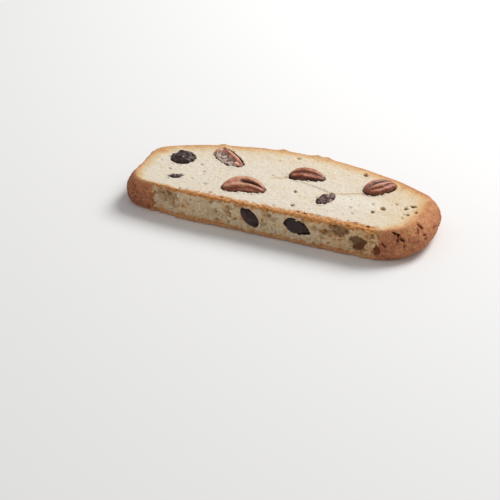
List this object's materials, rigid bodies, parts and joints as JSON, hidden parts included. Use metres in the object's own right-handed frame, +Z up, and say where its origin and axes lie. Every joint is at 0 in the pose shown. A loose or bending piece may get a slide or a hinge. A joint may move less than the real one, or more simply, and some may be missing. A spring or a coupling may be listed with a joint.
{
  "type": "almond cookie",
  "caption": "Twice-baked cookie: a flat slice of a domed loaf with baked crust at its edges, open crumb, and pecan halves and raisins set in it.",
  "frame": {"origin": "centre of the underside's box, on the surface that the cookie lies on", "axes": "+X along the slice, from its left end to its right end; +Y from the straight front side to the domed back; +Z up, out of the upper cut face"},
  "size_m": [0.1408, 0.0568, 0.0177],
  "materials": {
    "crumb": "matte baked crumb, pale cream on the cut faces and golden to red-brown on the crust",
    "pecan": "satin brown nut skin",
    "raisin": "purple-black wrinkled skin, slightly glossy"
  },
  "bodies": {
    "root": {"biscuit": "crumb", "pecan_face_1": "pecan", "pecan_face_2": "pecan", "pecan_face_3": "pecan", "pecan_face_4": "pecan", "pecan_under_1": "pecan", "pecan_under_2": "pecan", "raisin_back": "raisin", "raisin_back_right": "raisin", "raisin_face_left": "raisin", "raisin_face_middle": "raisin", "raisin_face_sliver": "raisin", "raisin_front_oval": "raisin", "raisin_front_wedge": "raisin", "raisin_under_left": "raisin", "raisin_under_middle": "raisin", "raisin_under_right": "raisin"}
  },
  "joints": []
}
